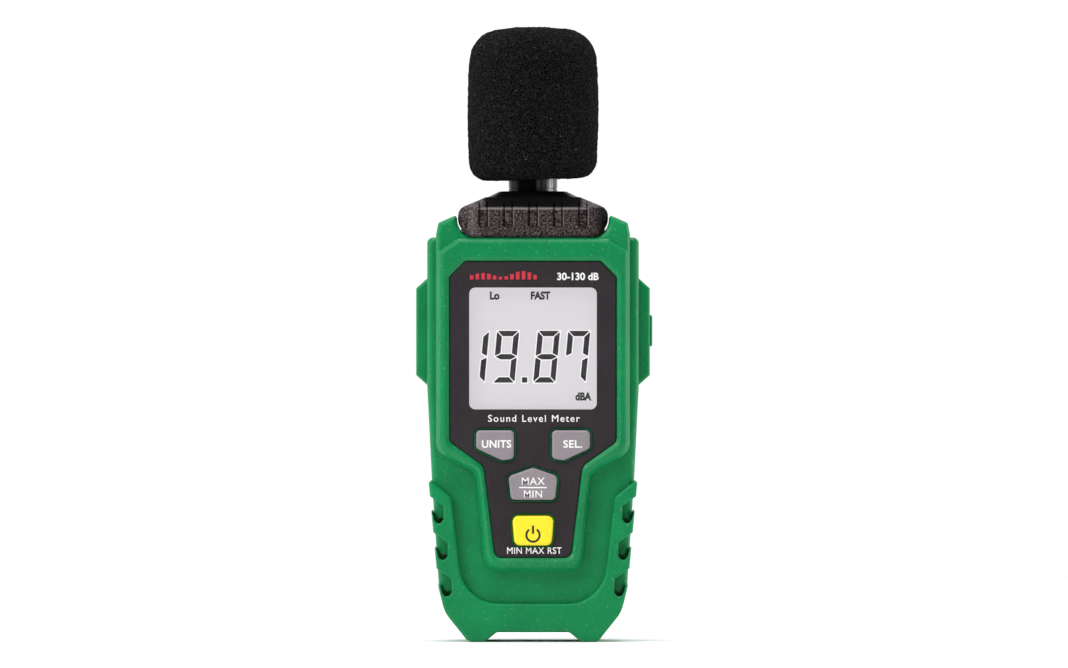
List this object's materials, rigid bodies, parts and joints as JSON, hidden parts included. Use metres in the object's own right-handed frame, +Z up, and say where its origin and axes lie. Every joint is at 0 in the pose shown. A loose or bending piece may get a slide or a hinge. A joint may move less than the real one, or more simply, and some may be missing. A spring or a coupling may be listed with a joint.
{
  "type": "sound level meter",
  "caption": "Hand-held sound level meter: green moulded case with a waisted grip, black nose, display, keys and a pull-off foam windscreen on a microphone tube.",
  "frame": {"origin": "on the ground, midway across the case and midway through the depth of the windscreen", "axes": "+X to the right of someone reading the display, -Y out of the display, +Z up towards the microphone"},
  "size_m": [0.0615, 0.034, 0.1599],
  "materials": {
    "green_plastic": "satin",
    "black_plastic": "matte",
    "panel_plastic": "matte",
    "key_grey": "satin",
    "key_yellow": "satin",
    "silicone": "matte",
    "carbon": "matte",
    "lens_plastic": "gloss",
    "display_glass": "gloss",
    "white_plastic": "satin",
    "circuit_board": "satin",
    "chip_plastic": "matte",
    "bright_metal": "satin",
    "tube_metal": "satin",
    "insert_brass": "satin",
    "cell_jacket": "gloss",
    "lead_insulation": "satin",
    "foam": "matte"
  },
  "bodies": {
    "root": {"front_case": "green_plastic", "rear_case": "green_plastic", "nose_cap": "black_plastic", "display_holder": "black_plastic", "front_panel": "panel_plastic", "keypad_mat": "silicone", "mic_boot": "silicone", "mic_grommet": "silicone", "display_connector": "silicone", "display_lens": "lens_plastic", "display_glass": "display_glass", "backlight": "white_plastic", "mic_connector": "white_plastic", "main_board": "circuit_board", "controller_chip": "chip_plastic", "amplifier_chip": "chip_plastic", "side_switch": "chip_plastic", "crystal": "bright_metal", "mic_capsule": "bright_metal", "contact_spring_1": "bright_metal", "contact_spring_2": "bright_metal", "contact_spring_3": "bright_metal", "contact_plate_1": "bright_metal", "contact_plate_2": "bright_metal", "contact_plate_3": "bright_metal", "case_screw_1": "bright_metal", "case_screw_2": "bright_metal", "case_screw_3": "bright_metal", "case_screw_4": "bright_metal", "board_screw_1": "bright_metal", "board_screw_2": "bright_metal", "mic_tube": "tube_metal", "mic_grille": "tube_metal", "tripod_insert": "insert_brass", "battery_cell_1": "cell_jacket", "battery_cell_2": "cell_jacket", "battery_cell_3": "cell_jacket", "battery_lead_positive": "lead_insulation", "battery_lead_negative": "lead_insulation", "mic_lead": "lead_insulation"},
    "key_units": {"key_units": "key_grey", "contact_pill_units": "carbon"},
    "key_select": {"key_select": "key_grey", "contact_pill_select": "carbon"},
    "key_max_min": {"key_max_min": "key_grey", "contact_pill_max_min": "carbon"},
    "key_power": {"key_power": "key_yellow", "contact_pill_power": "carbon"},
    "side_key": {"side_key": "green_plastic"},
    "windscreen": {"windscreen": "foam"},
    "battery_door": {"battery_door": "green_plastic"}
  },
  "joints": [
    {"name": "units_key_press", "type": "slide", "parent": "root", "child": "key_units", "axis": [0, 1, 0], "range_m": [0, 0.0008], "stiffness_N_per_m": 1500},
    {"name": "select_key_press", "type": "slide", "parent": "root", "child": "key_select", "axis": [0, 1, 0], "range_m": [0, 0.0008], "stiffness_N_per_m": 1500},
    {"name": "max_min_key_press", "type": "slide", "parent": "root", "child": "key_max_min", "axis": [0, 1, 0], "range_m": [0, 0.0008], "stiffness_N_per_m": 1500},
    {"name": "power_key_press", "type": "slide", "parent": "root", "child": "key_power", "axis": [0, 1, 0], "range_m": [0, 0.0008], "stiffness_N_per_m": 1500},
    {"name": "side_key_press", "type": "slide", "parent": "root", "child": "side_key", "axis": [-1, 0, 0], "range_m": [0, 0.0006], "stiffness_N_per_m": 2000},
    {"name": "windscreen_pull", "type": "slide", "parent": "root", "child": "windscreen", "axis": [0, 0, 1], "range_m": [0, 0.045]},
    {"name": "battery_door_lift", "type": "slide", "parent": "root", "child": "battery_door", "axis": [0, 1, 0], "range_m": [0, 0.03]}
  ]
}
